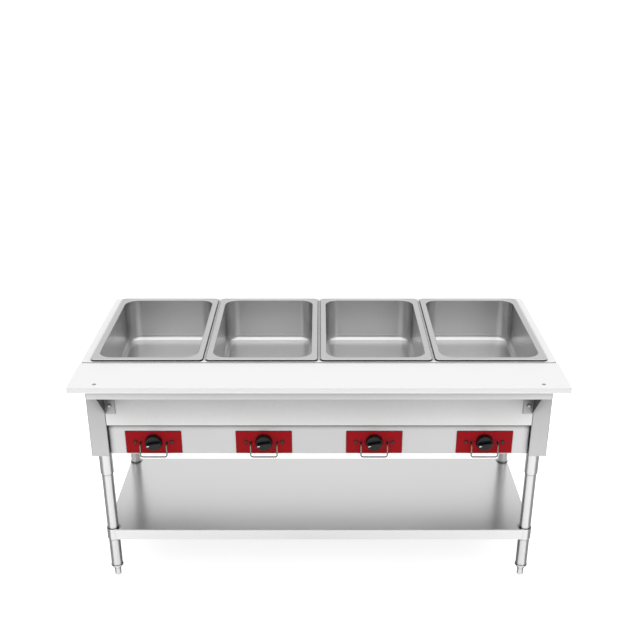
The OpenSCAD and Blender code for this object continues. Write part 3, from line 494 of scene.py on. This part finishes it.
# An outline in millimetres, placed and raised to a low plate, its top edge eased by a share of its height
def flatPlate(mesh, outline, place, height, easeShare=0.4):
    base = mesh.faces.new([mesh.verts.new(place @ mm(x, y, 0)) for x, y in outline])
    raised = bmesh.ops.extrude_face_region(mesh, geom=[base])
    top = [v for v in raised["geom"] if isinstance(v, bmesh.types.BMVert)]
    bmesh.ops.translate(mesh, verts=top, vec=place.to_3x3() @ mm(0, 0, height))
    rim = [e for e in mesh.edges if all(v in top for v in e.verts)]
    bmesh.ops.bevel(mesh, geom=rim, offset=easeShare * height / 1000, offset_type="OFFSET", segments=2,
                    profile=0.5, affect="EDGES", material=-1)
    bmesh.ops.recalc_face_normals(mesh, faces=mesh.faces)


def addPiece(name, mesh, finish, body, sharpDeg=35):
    data = bpy.data.meshes.new(name)
    mesh.to_mesh(data)
    mesh.free()
    data.materials.append(finishes[finish])
    data.shade_smooth()
    data.set_sharp_from_angle(angle=math.radians(sharpDeg))
    made = bpy.data.objects.new(name, data)
    bpy.context.scene.collection.objects.link(made)
    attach(made, body)


# Facing the front: x to the right, y up, z out of the plate, in millimetres
def facing(x, y, z):
    return Matrix.Translation(mm(x, y, z)) @ Matrix.Rotation(math.radians(90), 4, "X")


# Places of the controls, read from the frame in millimetres
knobTurn = {joint["child"]: joint for joint in frame["joints"] if joint["type"] == "hinge"}
knobX = {i: 1000 * knobTurn[f"dial_{i}"]["pos_m"][0] for i in wells}
knobZ = 1000 * knobTurn["dial_1"]["pos_m"][2]
plateY = 1000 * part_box("dial_plates")[0].y
gripY = 1000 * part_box("knob_1")[0].y
lampOut = -1000 * sum(corner.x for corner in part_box("pilot_lamps")) / 2  # from a knob to a lamp beside it
outwards = (0, -1, 0)

# Snap-in bezels round the lamps, a hair in front of the plates
bezel = {"inner": 5.95, "outer": 6.8, "height": 2.0, "ease": 0.3, "roundShare": 0.3, "standOff": 0.05,
         "steps": 40}
bezelProfile = [(bezel["inner"], bezel["standOff"]), (bezel["outer"], bezel["standOff"]),
                (bezel["outer"], bezel["height"] - 2 * bezel["ease"]),
                (bezel["outer"] - bezel["roundShare"] * bezel["ease"], bezel["height"] - bezel["ease"]),
                (bezel["outer"] - bezel["ease"], bezel["height"]),
                (bezel["inner"] + bezel["ease"], bezel["height"]),
                (bezel["inner"], bezel["height"] - bezel["ease"])]
bezelMesh = bmesh.new()
for i in wells:
    for side in (-1, 1):
        turnedRing(bezelMesh, bezelProfile, (knobX[i] + side * lampOut, plateY, knobZ), outwards,
                   bezel["steps"])
addPiece("lampBezels", bezelMesh, "nylonMoulded", "frame")

# Rubber grommets where the guards pass through the plates
# The crown is in shares of outer radius and height, the mouth in shares of inner radius and height
grommet = {"wire": 5.0, "inner": 2.6, "outer": 4.4, "height": 1.8, "standOff": 0.05, "steps": 28,
           "crown": [(1.0, 0.6), (0.9, 0.9), (0.76, 1.0)], "mouth": [(1.2, 1.0), (1.0, 0.8)]}
guardLow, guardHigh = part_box("knob_guard_1")
guardOut = 1000 * (guardHigh.x - guardLow.x) / 2 - grommet["wire"] / 2
guardZ = 1000 * guardHigh.z - grommet["wire"] / 2
grommetProfile = [(grommet["inner"], grommet["standOff"]), (grommet["outer"], grommet["standOff"])]
grommetProfile += [(r * grommet["outer"], h * grommet["height"]) for r, h in grommet["crown"]]
grommetProfile += [(r * grommet["inner"], h * grommet["height"]) for r, h in grommet["mouth"]]
grommetMesh = bmesh.new()
for i in wells:
    for side in (-1, 1):
        turnedRing(grommetMesh, grommetProfile, (knobX[i] + side * guardOut, plateY, guardZ), outwards,
                   grommet["steps"])
addPiece("guardGrommets", grommetMesh, "rubberMoulded", "frame")

# Dial marks on the plates: dots of growing size along the knob's travel
dial = {"radius": 35.5, "startDeg": 190, "stepDeg": -27, "count": 11, "dot": (1.4, 2.2), "sides": 20,
        "height": 0.12}
firstDot, lastDot = dial["dot"]
circle = [(math.cos(math.tau * n / dial["sides"]), math.sin(math.tau * n / dial["sides"]))
          for n in range(dial["sides"])]
dotMesh = bmesh.new()
for i in wells:
    for k in range(dial["count"]):
        travel = math.radians(dial["startDeg"] + k * dial["stepDeg"])
        dotRadius = firstDot + (lastDot - firstDot) * k / (dial["count"] - 1)
        dotPlace = facing(knobX[i] + dial["radius"] * math.cos(travel), plateY,
                          knobZ + dial["radius"] * math.sin(travel))
        flatPlate(dotMesh, [(dotRadius * x, dotRadius * y) for x, y in circle], dotPlace, dial["height"])
addPiece("dialMarks", dotMesh, "inkScreenedBlack", "frame")

# White mark on the end of each grip, with round ends
pointer = {"from": 12.0, "to": 20.5, "width": 3.4, "slopeDeg": 10, "height": 0.25, "arcSteps": 10}
endRadius = pointer["width"] / 2
markOutline = []
for endX, startDeg in ((pointer["from"] + endRadius, 90), (pointer["to"] - endRadius, -90)):
    for n in range(pointer["arcSteps"] + 1):
        along = math.radians(startDeg + 180 * n / pointer["arcSteps"])
        markOutline.append((endX + endRadius * math.cos(along), endRadius * math.sin(along)))
markTurn = Matrix.Rotation(math.radians(180 + pointer["slopeDeg"]), 4, "Z")
for i in wells:
    markMesh = bmesh.new()
    flatPlate(markMesh, markOutline, facing(knobX[i], gripY, knobZ) @ markTurn, pointer["height"])
    addPiece(f"pointerMark{i}", markMesh, "paintFilledWhite", f"dial_{i}")
print("control details made")
